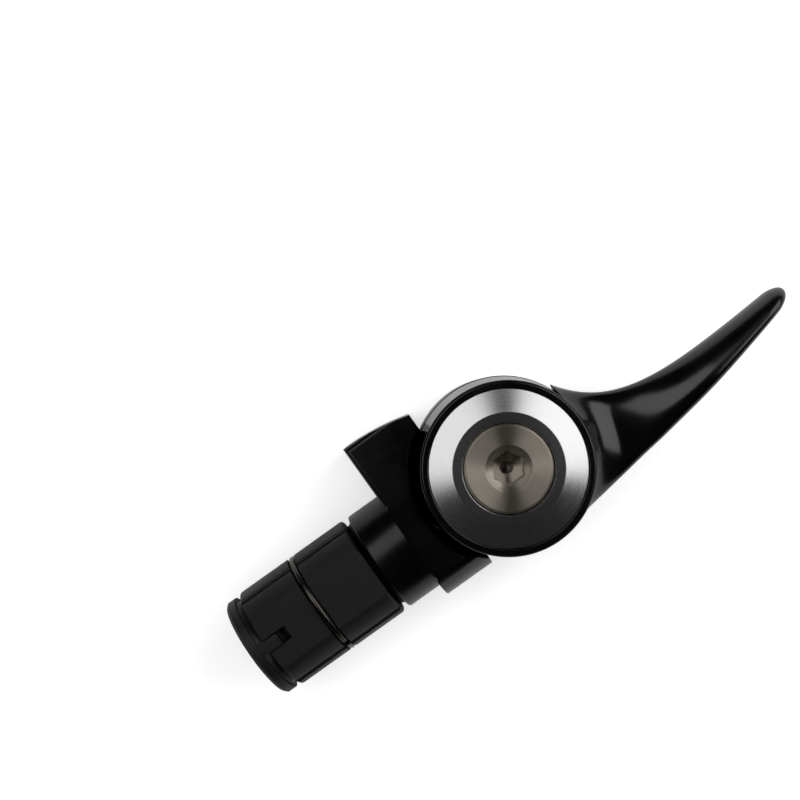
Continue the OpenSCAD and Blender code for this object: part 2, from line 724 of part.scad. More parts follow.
// Plate that closes the head and carries the driving pawl. Its slot rides over the stop pin,
// so the slot's ends are the limits of the lever's travel.
module drive_plate() {
    slot_r = stop_pin_d / 2 + 0.15;
    spare = 0.6;
    slot_from = stop_angle - release_angle - spare;
    slot_to = stop_angle + pull_angle + spare;
    color([0.62, 0.62, 0.64]) about_pivot(head_z) difference() {
        cylinder(r = plate_r, h = plate_t);
        translate([0, 0, -cut]) cylinder(r = bushing_r + thin_gap, h = plate_t + 2 * cut);
        translate([0, 0, -cut]) linear_extrude(plate_t + 2 * cut) polygon(concat(
            arc([0, 0], stop_r + slot_r, slot_from, slot_to, 12),
            arc(polar(stop_r, slot_to), slot_r, slot_to, slot_to + 180),
            arc([0, 0], stop_r - slot_r, slot_to, slot_from, 12),
            arc(polar(stop_r, slot_from), slot_r, slot_from + 180, slot_from + 360)));
        for (a = pillar_angles) rotate(a) translate([pillar_circle_r, 0, 0]) {
            translate([0, 0, -cut]) cylinder(r = screw_r, h = plate_t + 2 * cut);
            cylinder(r1 = screw_r + 0.8, r2 = screw_r, h = 0.8);
        }
        rotate(drive_nose_angle + pawl_span) translate([pawl_pivot_r, 0, -cut])
            cylinder(r = pawl_pin_d / 2, h = plate_t + 2 * cut);
    }
}

module plate_screws() {
    color([0.5, 0.5, 0.52]) for (a = pillar_angles)
        about_pivot(head_z) rotate(a) translate([pillar_circle_r, 0, 0]) difference() {
            union() {
                cylinder(r1 = screw_r + 0.8, r2 = screw_r, h = 0.8);
                cylinder(r = screw_r, h = ceiling_z - head_z - 1.5);
            }
            translate([0, 0, -cut]) hex_hole(1.1, cut + 0.6);
        }
}

module spring_post() {
    post_foot_z = plate_top_z + 2.7;
    color([0.7, 0.7, 0.72]) about_pivot(post_foot_z) rotate(stop_angle)
        translate([stop_r, 0, 0]) cylinder(r = stop_pin_d / 2, h = ceiling_z + 1.4 - post_foot_z);
}

// A round wire along a path that never runs straight up
module wire(path, r, sides = 8) {
    count = len(path);
    function heading(i) = unit(path[min(i + 1, count - 1)] - path[max(i - 1, 0)]);
    points = [for (i = [0:count - 1])
        let (side = unit(cross(heading(i), [0, 0, 1])), up = cross(side, heading(i)))
            for (k = [0:sides - 1]) path[i] + r * (side * cos(360 * k / sides)
                + up * sin(360 * k / sides))];
    polyhedron(points, concat(
        [[for (k = [0:sides - 1]) k]],
        [for (i = [0:count - 2]) for (k = [0:sides - 1])
            let (a = i * sides + k, b = i * sides + (k + 1) % sides) [a, a + sides, b]],
        [for (i = [0:count - 2]) for (k = [0:sides - 1])
            let (a = i * sides + k, b = i * sides + (k + 1) % sides) [b, a + sides, b + sides]],
        [[for (k = [sides - 1:-1:0]) (count - 1) * sides + k]]), convexity = 10);
}

// Centring spring: one leg bears on the fixed stop pin, the other on the lever's post
module lever_spring() {
    coil_r = hub_r + 0.2 + spring_wire_d / 2;
    reach = coil_r + spring_wire_d / 2 + stop_pin_d / 2 + 0.05;
    lean = acos(reach / stop_r);
    leg = stop_r * sin(lean) + 0.9;
    low_z = plate_top_z + 0.9;
    high_z = ceiling_z - 1.1;
    start = stop_angle + lean;
    end = stop_angle - lean + 1080;
    steps = 60;
    path = concat(
        [concat(polar(coil_r, start) + leg * polar(1, start - 90), [low_z])],
        [for (i = [0:steps]) let (a = start + (end - start) * i / steps)
            concat(polar(coil_r, a), [low_z + (high_z - low_z) * i / steps])],
        [concat(polar(coil_r, end) + leg * polar(1, end + 90), [high_z])]);
    color([0.75, 0.75, 0.78]) about_pivot() wire(path, spring_wire_d / 2);
}

// Cable spool: the wire lies in its groove, and its end sits in the pocket in the top
module cable_spool() {
    hub_w = 1.25;
    pocket_angle = 62;
    pocket_in = 2.3;
    groove_wire_r = wire_d / 2 + 0.1;
    color([0.32, 0.32, 0.34]) about_pivot() difference() {
        rotate_extrude() difference() {
            polygon([
                [bore_r, spool_z], [bore_r + hub_w, spool_z], [bore_r + hub_w, spool_z + spring_room],
                [spool_r, spool_z + spring_room], [spool_r, spool_z + spool_h],
                [bore_r, spool_z + spool_h]]);
            translate([cable_r, cable_z]) circle(r = groove_wire_r, $fn = 24);
            polygon([
                [cable_r, cable_z - groove_wire_r], [spool_r + cut, cable_z - groove_wire_r - 0.5],
                [spool_r + cut, cable_z + groove_wire_r + 0.5], [cable_r, cable_z + groove_wire_r]]);
        }
        rotate(pocket_angle) translate([spool_r - pocket_in - 0.9, 0, cable_z - 1.1])
            cylinder(r = pocket_in, h = spool_h);
        for (k = [0:2]) rotate(120 * k + 30)
            translate([dowel_circle_r, 0, spool_z + spring_room + 1])
                cylinder(r = dowel_r, h = spool_h);
    }
}

module spool_dowels() {
    foot_z = spool_z + spring_room + 1;
    color([0.7, 0.7, 0.72]) about_pivot() for (k = [0:2]) rotate(120 * k + 30)
        translate([dowel_circle_r, 0, foot_z])
            cylinder(r = dowel_r, h = drive_top_z - foot_z);
}

// Each tooth's steep face looks against the pull, and its back rises over one pitch
module ratchet(z, h) {
    color([0.58, 0.58, 0.6]) about_pivot(z) linear_extrude(h) difference() {
        polygon([for (k = [0:ratchet_teeth - 1]) each [
            polar(ratchet_tip_r, k * pitch_angle), polar(root_r, k * pitch_angle + 0.2),
            polar(root_r + tooth_depth * 0.5, (k + 0.52) * pitch_angle)]]);
        circle(r = bore_r);
        for (k = [0:2]) rotate(120 * k + 30) translate([dowel_circle_r, 0]) circle(r = dowel_r);
    }
}

module hold_ratchet() {
    ratchet(hold_z, ratchet_t);
}

module drive_ratchet() {
    ratchet(drive_z, drive_top_z - drive_z);
}

// Flat spiral under the spool that takes up the cable's slack
module spool_spring() {
    strip = 0.4;
    turns = 2.6;
    inner_r = bore_r + 1.25 + 0.15;
    outer_r = cup_r - strip - 0.1;
    steps = 90;
    function spiral_r(i) = inner_r + (outer_r - inner_r) * i / steps;
    color([0.6, 0.62, 0.68]) about_pivot(spool_z + run_fit)
        linear_extrude(spring_room - 2 * run_fit) polygon(concat(
            [for (i = [0:steps]) polar(spiral_r(i), 360 * turns * i / steps)],
            [for (i = [steps:-1:0]) polar(spiral_r(i) + strip, 360 * turns * i / steps)]));
}

housing();
pivot_nut();
pivot_sleeve();
cap_bolt();
spool_washer();
thrust_washer();
index_plate();
plate_circlip();
hold_pawl_pin();
stop_pin();
rim_seal();
cable_guide();
hold_pawl_spring();
expander_bolt();
bolt_washer();
wedge_nut();
jaw_1();
jaw_2();
jaw_3();
jaw_ring();
shift_lever();
face_ring();
lever_bushing();
cap_washer();
drive_plate();
plate_screws();
drive_pawl_pin();
drive_pawl_spring();
spring_post();
lever_spring();
cable_spool();
spool_dowels();
hold_ratchet();
drive_ratchet();
spool_spring();
drive_pawl();
hold_pawl();
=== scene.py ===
"""Bar end shifter with a return lever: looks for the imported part.

The frame is the part's own: metres, origin on the plug's axis at the shoulder, +X to the lever,
+Y to the cable lug, +Z out through the cap bolt. The part lies on the flat back of its drum.
"""
import json
import math

import bmesh
import bpy
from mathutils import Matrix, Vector


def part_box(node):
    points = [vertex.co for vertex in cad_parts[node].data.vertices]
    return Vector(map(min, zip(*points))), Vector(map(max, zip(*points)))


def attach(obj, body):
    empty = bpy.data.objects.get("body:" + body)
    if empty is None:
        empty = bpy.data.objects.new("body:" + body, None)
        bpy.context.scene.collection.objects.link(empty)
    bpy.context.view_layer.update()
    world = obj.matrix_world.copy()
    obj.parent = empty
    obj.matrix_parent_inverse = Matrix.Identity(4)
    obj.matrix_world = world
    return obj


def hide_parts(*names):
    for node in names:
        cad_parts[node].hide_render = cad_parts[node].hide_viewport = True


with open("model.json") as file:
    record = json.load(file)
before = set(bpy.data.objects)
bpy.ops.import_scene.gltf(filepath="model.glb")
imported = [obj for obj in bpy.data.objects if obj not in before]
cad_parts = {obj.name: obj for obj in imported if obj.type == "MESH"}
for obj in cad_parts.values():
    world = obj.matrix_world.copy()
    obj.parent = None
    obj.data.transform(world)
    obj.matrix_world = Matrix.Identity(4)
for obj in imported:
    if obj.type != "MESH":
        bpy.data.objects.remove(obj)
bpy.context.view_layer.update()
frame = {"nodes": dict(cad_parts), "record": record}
bpy.context.scene.view_settings.view_transform = "Standard"

MM = 0.001
PIVOT_X, PIVOT_Y = 20.2, 1.25
BACK_Z = -12.0 * MM
PICTURE_TURN = 35.5
PICTURE_PIXELS, LENS_PIXELS = 800, 1392
SCREW_CIRCLE_R, SCREW_TURNS = 11.1, (20, 140, 260)


def put(name, data):
    """A new object in the scene."""
    made = bpy.data.objects.new(name, data)
    bpy.context.scene.collection.objects.link(made)
    return made


# Camera
def set_camera():
    """Straight above the part and turned, so that the lever points up and to the right."""
    data = bpy.data.cameras.new("photo_camera")
    camera = put("photo_camera", data)
    camera.location = Vector((12.4, 20.3, 237.0)) * MM
    camera.rotation_euler = (0.0, 0.0, math.radians(-PICTURE_TURN))
    data.sensor_width = 36.0
    data.lens = data.sensor_width * LENS_PIXELS / PICTURE_PIXELS
    data.clip_start = 0.01
    bpy.context.scene.camera = camera


# Node helpers
def linear(hex_colour):
    """An sRGB colour such as "1A1B1C" as linear red, green, blue and alpha."""
    parts = [int(hex_colour[i:i + 2], 16) / 255 for i in (0, 2, 4)]
    return [c / 12.92 if c <= 0.04045 else ((c + 0.055) / 1.055) ** 2.4 for c in parts] + [1.0]


def add(tree, kind, links=(), **settings):
    """Adds a node. A setting names a property or an input, or _0, _1 for an input by its place;
    a link is (input, node, output)."""
    made = tree.nodes.new(kind)
    for name, value in settings.items():
        if hasattr(made, name):
            setattr(made, name, value)
        elif name[1:].isdigit():
            made.inputs[int(name[1:])].default_value = value
        else:
            made.inputs[name.replace("_", " ")].default_value = value
    for target, source, output in links:
        tree.links.new(source.outputs[output], made.inputs[target])
    return made


def start_material(name):
    """An empty material and its node tree."""
    material = bpy.data.materials.new(name)
    material.use_nodes = True
    tree = material.node_tree
    tree.nodes.clear()
    return material, tree


def noise_on(tree, size_mm, stretch=(1, 1, 1), **settings):
    """Noise whose blobs are about size_mm across on the piece itself."""
    place = add(tree, "ShaderNodeTexCoord")
    along = add(tree, "ShaderNodeMapping", [("Vector", place, "Object")], Scale=stretch)
    return add(tree, "ShaderNodeTexNoise", [("Vector", along, 0)], Scale=1 / (size_mm * MM),
               **settings)


def spread(tree, source, low, high, start=0.3, end=0.7):
    """Maps a noise's middle range to low and high."""
    return add(tree, "ShaderNodeMapRange", [("Value", source, 0)], _1=start, _2=end,
               _3=low, _4=high)


def from_pivot(tree):
    """Distance from the pivot's line, in metres, at each point of a turned face."""
    place = add(tree, "ShaderNodeTexCoord")
    centred = add(tree, "ShaderNodeMapping", [("Vector", place, "Object")],
                  Location=(-PIVOT_X * MM, -PIVOT_Y * MM, 0.0))
    flat = add(tree, "ShaderNodeVectorMath", [(0, centred, 0)], operation="MULTIPLY",
               _1=(1.0, 1.0, 0.0))
    return add(tree, "ShaderNodeVectorMath", [(0, flat, 0)], operation="LENGTH")


def finish(tree, bump_from, bump_mm, links, bump_strength, **settings):
    """The shader with a little relief, joined to the output."""
    bump = add(tree, "ShaderNodeBump", [("Height", bump_from, 0)], Strength=bump_strength,
               Distance=bump_mm * MM)
    shader = add(tree, "ShaderNodeBsdfPrincipled", [("Normal", bump, 0)] + links, **settings)
    add(tree, "ShaderNodeOutputMaterial", [("Surface", shader, 0)])


# Finishes
RING_FLAT_ROUGHNESS = 0.2
RING_BEVEL_ROUGHNESS = 0.26
CAP_ROUGHNESS = 0.4
RING_BEVEL_FROM = 9.07


def gloss_paint(name, colour, roughness, wave_mm, wave_height, ior):
    """Sprayed and baked gloss enamel. To the eye it is a deep, wet black in which lamps show as
    soft-edged shapes that waver a little, as spray paint flows (orange peel of one to two
    millimetres), a touch duller here and there where hands have been."""
    material, tree = start_material(name)
    peel = noise_on(tree, wave_mm, Detail=1.5, Roughness=0.4)
    hands = noise_on(tree, 7, Detail=2.0)
    tone = spread(tree, hands, roughness * 0.85, roughness * 1.2, 0.35, 0.65)
    finish(tree, peel, wave_height, [("Roughness", tone, 0)], 0.3,
           Base_Color=linear(colour), IOR=ior)
    return material


def black_anodised(name, colour, roughness):
    """Aluminium blasted with fine bead and anodised black: a dry, even charcoal. A grain of a
    fifth of a millimetre keeps every highlight broad, and turning marks run faintly round the
    plug."""
    material, tree = start_material(name)
    grain = noise_on(tree, 0.22, Detail=3.0, Roughness=0.6)
    turning = noise_on(tree, 0.5, (1, 0.03, 0.03), Detail=2.0)
    both = add(tree, "ShaderNodeMath", [(0, grain, 0), (1, turning, 0)], operation="ADD")
    cloud = noise_on(tree, 5, Detail=2.0)
    tone = spread(tree, cloud, roughness * 0.9, roughness * 1.1)
    finish(tree, both, 0.012, [("Roughness", tone, 0)], 0.25, Base_Color=linear(colour), IOR=1.45)
    return material


def grooves(tree, feed_mm):
    """The distance from the pivot, and the lathe tool's fine grooves that run round it."""
    radius = from_pivot(tree)
    return radius, add(tree, "ShaderNodeTexNoise", [("W", radius, "Value")],
                       noise_dimensions="1D", Scale=1 / (feed_mm * MM), Detail=3.0, Roughness=0.7)


def finish_turned(tree, groove, tone, shade_and_crest_colours, relief_mm, strength, anisotropy):
    """Metal with painted shade in its grooves: the groove pattern mixes in a darker colour there,
    and the grooves also spread light across them. The UV map tells the way across, and the
    colours are the painted groove shade's and the crest's."""
    shade = add(tree, "ShaderNodeMix", [("Factor", groove, 0)], data_type="RGBA",
                _6=linear(shade_and_crest_colours[0]), _7=linear(shade_and_crest_colours[1]))
    across = add(tree, "ShaderNodeTangent", direction_type="UV_MAP", uv_map="turning")
    finish(tree, groove, relief_mm, [("Base Color", shade, 2), ("Roughness", tone, 0),
                                     ("Tangent", across, 0)], strength,
           Metallic=1.0, Anisotropic=anisotropy)


def turned_ring_metal(name, colour, groove_shade_colour):
    """Clear anodised aluminium fresh from the lathe. The tool's fine grooves run round, so the
    bevel gathers light into broad bright and dark sectors with straight edges, like the glint
    on a pan's base, while the flat by the bolt is finer and stays dark."""
    material, tree = start_material(name)
    radius, groove = grooves(tree, 0.09)
    on_bevel = add(tree, "ShaderNodeMapRange", [("Value", radius, "Value")],
                   _1=(RING_BEVEL_FROM - 0.05) * MM, _2=(RING_BEVEL_FROM + 0.07) * MM,
                   _3=RING_FLAT_ROUGHNESS, _4=RING_BEVEL_ROUGHNESS)
    vary = spread(tree, groove, 0.9, 1.12, 0.25, 0.75)
    tone = add(tree, "ShaderNodeMath", [(0, on_bevel, 0), (1, vary, 0)], operation="MULTIPLY")
    # The groove colour is painted shade: the tool's grooves are drawn darker in colour.
    finish_turned(tree, groove, tone, (groove_shade_colour, colour), 0.001, 0.12, 0.5)
    return material


def turned_bolt_metal(name, colour, groove_shade_colour):
    """Stainless steel faced with a coarser feed: a warm grey whose grooves throw two pairs of
    soft wings across the face, bright to one side and duller to the other."""
    material, tree = start_material(name)
    groove = grooves(tree, 0.13)[1]
    tone = spread(tree, groove, CAP_ROUGHNESS * 0.85, CAP_ROUGHNESS * 1.2, 0.25, 0.75)
    # The groove colour is painted shade: the facing grooves are drawn darker in colour.
    finish_turned(tree, groove, tone, (groove_shade_colour, colour), 0.003, 0.25, 0.95)
    return material


def bare_metal(name, colour, roughness, grain_mm, stretch=(1, 1, 1)):
    """Bare machined, ground or drawn metal: a plain grey sheen, streaked along the way it was
    worked and a little darker in patches from oil."""
    material, tree = start_material(name)
    grain = noise_on(tree, grain_mm, stretch, Detail=3.0)
    oil = noise_on(tree, 3, Detail=2.0)
    tone = spread(tree, grain, roughness * 0.8, roughness * 1.2)
    clean = linear(colour)
    dirty = [c * 0.72 for c in clean[:3]] + [1.0]
    shade = add(tree, "ShaderNodeMix", [("Factor", oil, 0)], data_type="RGBA", _6=dirty, _7=clean)
    finish(tree, grain, 0.01, [("Base Color", shade, 2), ("Roughness", tone, 0)], 0.2,
           Metallic=1.0)
    return material


def soft_stuff(name, colour, roughness, grain_mm):
    """Moulded rubber or acetal: no metal in it, a dull skin with the mould's fine texture."""
    material, tree = start_material(name)
    grain = noise_on(tree, grain_mm, Detail=2.0)
    tone = spread(tree, grain, roughness * 0.9, roughness * 1.1)
    finish(tree, grain, 0.02, [("Roughness", tone, 0)], 0.25, Base_Color=linear(colour), IOR=1.5)
    return material


FINISH = {
    "housing_gloss": gloss_paint("black_enamel_casting", "020202", 0.27, 1.6, 0.01, 1.38),
    "lever_gloss": gloss_paint("black_enamel_forging", "030303", 0.19, 1.8, 0.01, 1.5),
    "jaw_anodised": black_anodised("black_anodised_aluminium", "070708", 0.56),
    # The second colour of each turned metal is painted shade in its lathe grooves.
    "ring_turned": turned_ring_metal("turned_aluminium_clear", "C6C7C6", "B4B5B4"),
    "bolt_turned": turned_bolt_metal("turned_steel_warm", "BAB2A7", "989085"),
    "bolt_black": bare_metal("black_oxide_steel", "1E1E20", 0.42, 0.4),
    "wire_steel": bare_metal("drawn_spring_wire", "4E4B46", 0.3, 0.3),
    "bronze": bare_metal("sintered_bronze", "B48A4E", 0.5, 0.15),
    "stamped_steel": bare_metal("stamped_steel_sheet", "9A9B9D", 0.36, 0.35),
    "pin_steel": bare_metal("ground_steel_pin", "B9BABC", 0.2, 0.2, (1, 1, 0.1)),
    "spool_grey": bare_metal("grey_anodised_spool", "5C5D60", 0.4, 0.25),
    "seal_rubber": soft_stuff("black_nitrile_seal", "0C0C0C", 0.7, 0.3),
    "guide_plastic": soft_stuff("natural_acetal_bush", "D9D6C8", 0.4, 0.4),
}


SLOT_OF = {s["node"]: s["material_slot"] for s in frame["record"]["subparts"]}
BODY_OF = {n: body for body, nodes in frame["record"]["behaviour"]["bodies"].items()
           for n in nodes}


def dress(piece, slot):
    """Gives a piece its slot's finish and no other."""
    piece.data.materials.clear()
    piece.data.materials.append(FINISH[slot])


# Mesh helpers
def new_piece(name, mesh, node):
    """A piece that stands for a CAD node: same body, same finish."""
    piece = put(name, mesh)
    dress(piece, SLOT_OF[node])
    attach(piece, BODY_OF[node])
    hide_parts(node)
    return piece


def shade_by_angle(bm, angle):
    """Smooth everywhere, apart from edges sharper than the angle in degrees."""
    limit = math.radians(angle)
    for face in bm.faces:
        face.smooth = True
    for edge in bm.edges:
        edge.smooth = len(edge.link_faces) == 2 and edge.calc_face_angle(0) < limit


def shaded(mesh, angle, weld=0.0):
    """A mesh shaded smooth up to an angle, with points nearer than weld, in metres, joined."""
    bm = bmesh.new()
    bm.from_mesh(mesh)
    if weld:
        bmesh.ops.remove_doubles(bm, verts=bm.verts, dist=weld)
    shade_by_angle(bm, angle)
    bm.to_mesh(mesh)
    bm.free()
    for name in ("custom_normal", "sharp_face"):
        if name in mesh.attributes:
            mesh.attributes.remove(mesh.attributes[name])
    return mesh


def merged(node, angle=30):
    """A copy of a CAD node's loose triangles, joined into one skin."""
    return shaded(frame["nodes"][node].data.copy(), angle, 2e-7)


def eased(corners, radius, steps=4, guard=0.06):
    """A profile of (radius, height) points with its corners eased by a small arc. A support
    point on each side of an arc keeps the faces between them truly flat when shaded."""
    out = [corners[0]]
    for before, corner, after in zip(corners, corners[1:], corners[2:]):
        here = Vector(corner)
        back, ahead = Vector(before) - here, Vector(after) - here
        ease = min(radius, back.length * 0.3, ahead.length * 0.3)
        back_one, ahead_one = back.normalized(), ahead.normalized()
        start, end = here + back_one * ease, here + ahead_one * ease
        out.append(tuple(start + back_one * min(guard, ease)))
        for i in range(steps + 1):
            t = i / steps
            out.append(tuple(start * (1 - t) ** 2 + here * 2 * t * (1 - t) + end * t ** 2))
        out.append(tuple(end + ahead_one * min(guard, ease)))
    out.append(corners[-1])
    return out


def skin(bm, rings, capped=True):
    """Joins rings of points, in mm, into a skin. Its turning UV runs along the profile in U and
    round the piece in V."""
    uv = bm.loops.layers.uv.verify()
    rows = [[bm.verts.new(Vector(point) * MM) for point in ring] for ring in rings]
    count = len(rings[0])
    travel = [0.0]
    for a, b in zip(rings, rings[1:]):
        travel.append(travel[-1] + max((Vector(a[0]) - Vector(b[0])).length, 0.01) * MM)
    for i, (low, high) in enumerate(zip(rows, rows[1:])):
        for k in range(count):
            j = (k + 1) % count
            face = bm.faces.new((low[k], low[j], high[j], high[k]))
            for loop, (across, up) in zip(face.loops, ((k, i), (k + 1, i), (k + 1, i + 1),
                                                       (k, i + 1))):
                loop[uv].uv = (travel[up], across / count)
    if capped:
        bm.faces.new(rows[0])
        bm.faces.new(rows[-1])


def to_mesh(name, bm, angle):
    """The finished mesh, its normals outward and its soft edges shaded smooth."""
    bmesh.ops.recalc_face_normals(bm, faces=bm.faces)
    shade_by_angle(bm, angle)
    mesh = bpy.data.meshes.new(name)
    bm.to_mesh(mesh)
    bm.free()
    return mesh


def new_bmesh():
    """An empty mesh in the making, with the UV that tells the grain of turned faces."""
    bm = bmesh.new()
    bm.loops.layers.uv.new("turning")
    return bm


def turned(profile, steps=192, centre=(PIVOT_X, PIVOT_Y)):
    """Rings for a profile of (radius, height) in mm, turned about a line along Z."""
    angles = [2 * math.pi * k / steps for k in range(steps)]
    return [[(centre[0] + r * math.cos(a), centre[1] + r * math.sin(a), z) for a in angles]
            for r, z in profile]


def arc(centre, radius, start, end, steps=8):
    """Points of an arc; the angles are in degrees."""
    return [(centre[0] + radius * math.cos(math.radians(start + (end - start) * i / steps)),
             centre[1] + radius * math.sin(math.radians(start + (end - start) * i / steps)))
            for i in range(steps + 1)]


def prism(outline, place, low, high):
    """A closed prism: place turns an outline point and a height in mm into a point."""
    bm = new_bmesh()
    skin(bm, [[place(a, b, h) for a, b in outline] for h in (low, high)])
    return to_mesh("tool", bm, 30)


def lathe(profile, steps=192, centre=(PIVOT_X, PIVOT_Y)):
    """A closed turned mesh."""
    bm = new_bmesh()
    skin(bm, turned(profile, steps, centre))
    return to_mesh("tool", bm, 30)


def combined(mesh, tool, operation):
    """One mesh cut by, joined with or limited to another."""
    pair = [put("work", m) for m in (mesh, tool)]
    boolean = pair[0].modifiers.new("boolean", "BOOLEAN")
    boolean.object = pair[1]
    boolean.operation = operation
    boolean.solver = "EXACT"
    depsgraph = bpy.context.evaluated_depsgraph_get()
    made = bpy.data.meshes.new_from_object(pair[0].evaluated_get(depsgraph))
    for piece in pair:
        bpy.data.objects.remove(piece)
    return made


# Geometry trees
def group(name, inputs):
    """A geometry tree with named inputs, and its two end nodes."""
    tree = bpy.data.node_groups.new(name, "GeometryNodeTree")
    tree.interface.new_socket("Geometry", in_out="INPUT", socket_type="NodeSocketGeometry")
    for label, kind in inputs:
        tree.interface.new_socket(label, in_out="INPUT", socket_type="NodeSocket" + kind)
    tree.interface.new_socket("Geometry", in_out="OUTPUT", socket_type="NodeSocketGeometry")
    return tree, tree.nodes.new("NodeGroupInput"), tree.nodes.new("NodeGroupOutput")


def last_steps(tree, source, given, out):
    """Smooth shading, real geometry and the finish, joined to the tree's output."""
    smooth = add(tree, "GeometryNodeSetShadeSmooth", [("Geometry", source, 0)])
    real = add(tree, "GeometryNodeRealizeInstances", [("Geometry", smooth, 0)])
    dressed = add(tree, "GeometryNodeSetMaterial", [("Geometry", real, 0),
                                                    ("Material", given, "Material")])
    tree.links.new(dressed.outputs[0], out.inputs[0])


def grow(node, mesh, tree, values):
    """Runs a tree on a mesh with the named values and keeps the result as the node's piece."""
    work = put("work", mesh)
    nodes = work.modifiers.new("grow", "NODES")
    nodes.node_group = tree
    values = dict(values, Material=FINISH[SLOT_OF[node]])
    for item in tree.interface.items_tree:
        if item.in_out == "INPUT" and item.name in values:
            nodes[item.identifier] = values[item.name]
    made = bpy.data.meshes.new_from_object(
        work.evaluated_get(bpy.context.evaluated_depsgraph_get()))
    work.modifiers.remove(nodes)
    bpy.data.objects.remove(work)
    made.name = node + "_grown"
    return new_piece(node + "_grown", made, node)


def coil_tree():
    """Spring wire or strip that runs round an axis: turns, radius from and to, and a rounded
    section wide and high."""
    tree, given, out = group("coil", [("Turns", "Float"), ("From", "Float"), ("To", "Float"),
                                      ("Wide", "Float"), ("High", "Float"),
                                      ("Roundness", "Float"), ("First", "Float"),
                                      ("Turned", "Vector"),
                                      ("Place", "Vector"), ("Material", "Material")])
    path = add(tree, "GeometryNodeCurveSpiral", [("Rotations", given, "Turns"),
                                                 ("Start Radius", given, "From"),
                                                 ("End Radius", given, "To")],
               Resolution=128, Height=0.0, Reverse=True)
    section = add(tree, "GeometryNodeCurvePrimitiveQuadrilateral", [("Width", given, "Wide"),
                                                                    ("Height", given, "High")])
    eased_section = add(tree, "GeometryNodeFilletCurve", [("Curve", section, 0),
                                                          ("Radius", given, "Roundness")],
                        mode="POLY", Count=8)
    tube = add(tree, "GeometryNodeCurveToMesh", [("Curve", path, 0),
                                                 ("Profile Curve", eased_section, 0)],
               Fill_Caps=True)
    turn = add(tree, "ShaderNodeCombineXYZ", [("Z", given, "First")])
    started = add(tree, "GeometryNodeTransform", [("Geometry", tube, 0), ("Rotation", turn, 0)])
    placed = add(tree, "GeometryNodeTransform", [("Geometry", started, 0),
                                                 ("Rotation", given, "Turned"),
                                                 ("Translation", given, "Place")])
    last_steps(tree, placed, given, out)
    return tree


def circle_tree():
    """A given piece repeated on a circle about the pivot."""
    tree, given, out = group("round_the_pivot", [("Count", "Int"), ("Radius", "Float"),
                                                 ("First", "Float"), ("Material", "Material")])
    ring = add(tree, "GeometryNodeMeshCircle", [("Vertices", given, "Count"),
                                                ("Radius", given, "Radius")])
    turn = add(tree, "ShaderNodeCombineXYZ", [("Z", given, "First")])
    placed = add(tree, "GeometryNodeTransform", [("Geometry", ring, 0), ("Rotation", turn, 0)],
                 Translation=(PIVOT_X * MM, PIVOT_Y * MM, 0.0))
    copies = add(tree, "GeometryNodeInstanceOnPoints", [("Points", placed, 0),
                                                        ("Instance", given, 0)])
    last_steps(tree, copies, given, out)
    return tree


def springs_and_screws():
    """The wire ring round the jaws, the spool's clock spring, the plate's three countersunk
    screws and the spool's three dowels."""
    coil, circle = coil_tree(), circle_tree()
    low, high = (Vector(corner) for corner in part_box("jaw_ring"))
    wire = high.x - low.x
    ring_r = (high.y - low.y - wire) / 2
    grow("jaw_ring", bpy.data.meshes.new("start"), coil, {
        "Turns": 350 / 360, "From": ring_r, "To": ring_r, "Wide": wire, "High": wire,
        "Roundness": wire * 0.48, "First": math.radians(240),
        "Turned": (0.0, math.pi / 2, 0.0), "Place": ((low.x + high.x) / 2, 0.0, 0.0)})
    low, high = (Vector(corner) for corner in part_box("spool_spring"))
    grow("spool_spring", bpy.data.meshes.new("start"), coil, {
        "Turns": 2.6, "From": 7.15 * MM, "To": 13.2 * MM, "Wide": 0.4 * MM,
        "High": high.z - low.z, "Roundness": 0.08 * MM, "First": 0.0,
        "Turned": (0.0, 0.0, 0.0), "Place": (PIVOT_X * MM, PIVOT_Y * MM, (low.z + high.z) / 2)})
    screw = lathe(eased([(0.1, 5.0), (0.75, 4.7), (0.8, 3.74), (1.78, 3.74), (1.0, 4.52),
                         (1.0, 8.88), (0.1, 8.88)], 0.05, 2, 0.03), 48, (0, 0))
    grow("plate_screws", screw, circle, {"Count": 3, "Radius": SCREW_CIRCLE_R * MM,
                                         "First": math.radians(SCREW_TURNS[0])})
    low, high = (Vector(corner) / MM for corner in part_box("spool_dowels"))
    dowel = lathe(eased([(0.1, low.z), (0.69, low.z), (0.69, high.z), (0.1, high.z)],
                        0.12, 2, 0.05), 48, (0, 0))
    grow("spool_dowels", dowel, circle, {"Count": 3, "Radius": 6.625 * MM,
                                         "First": math.radians(30)})


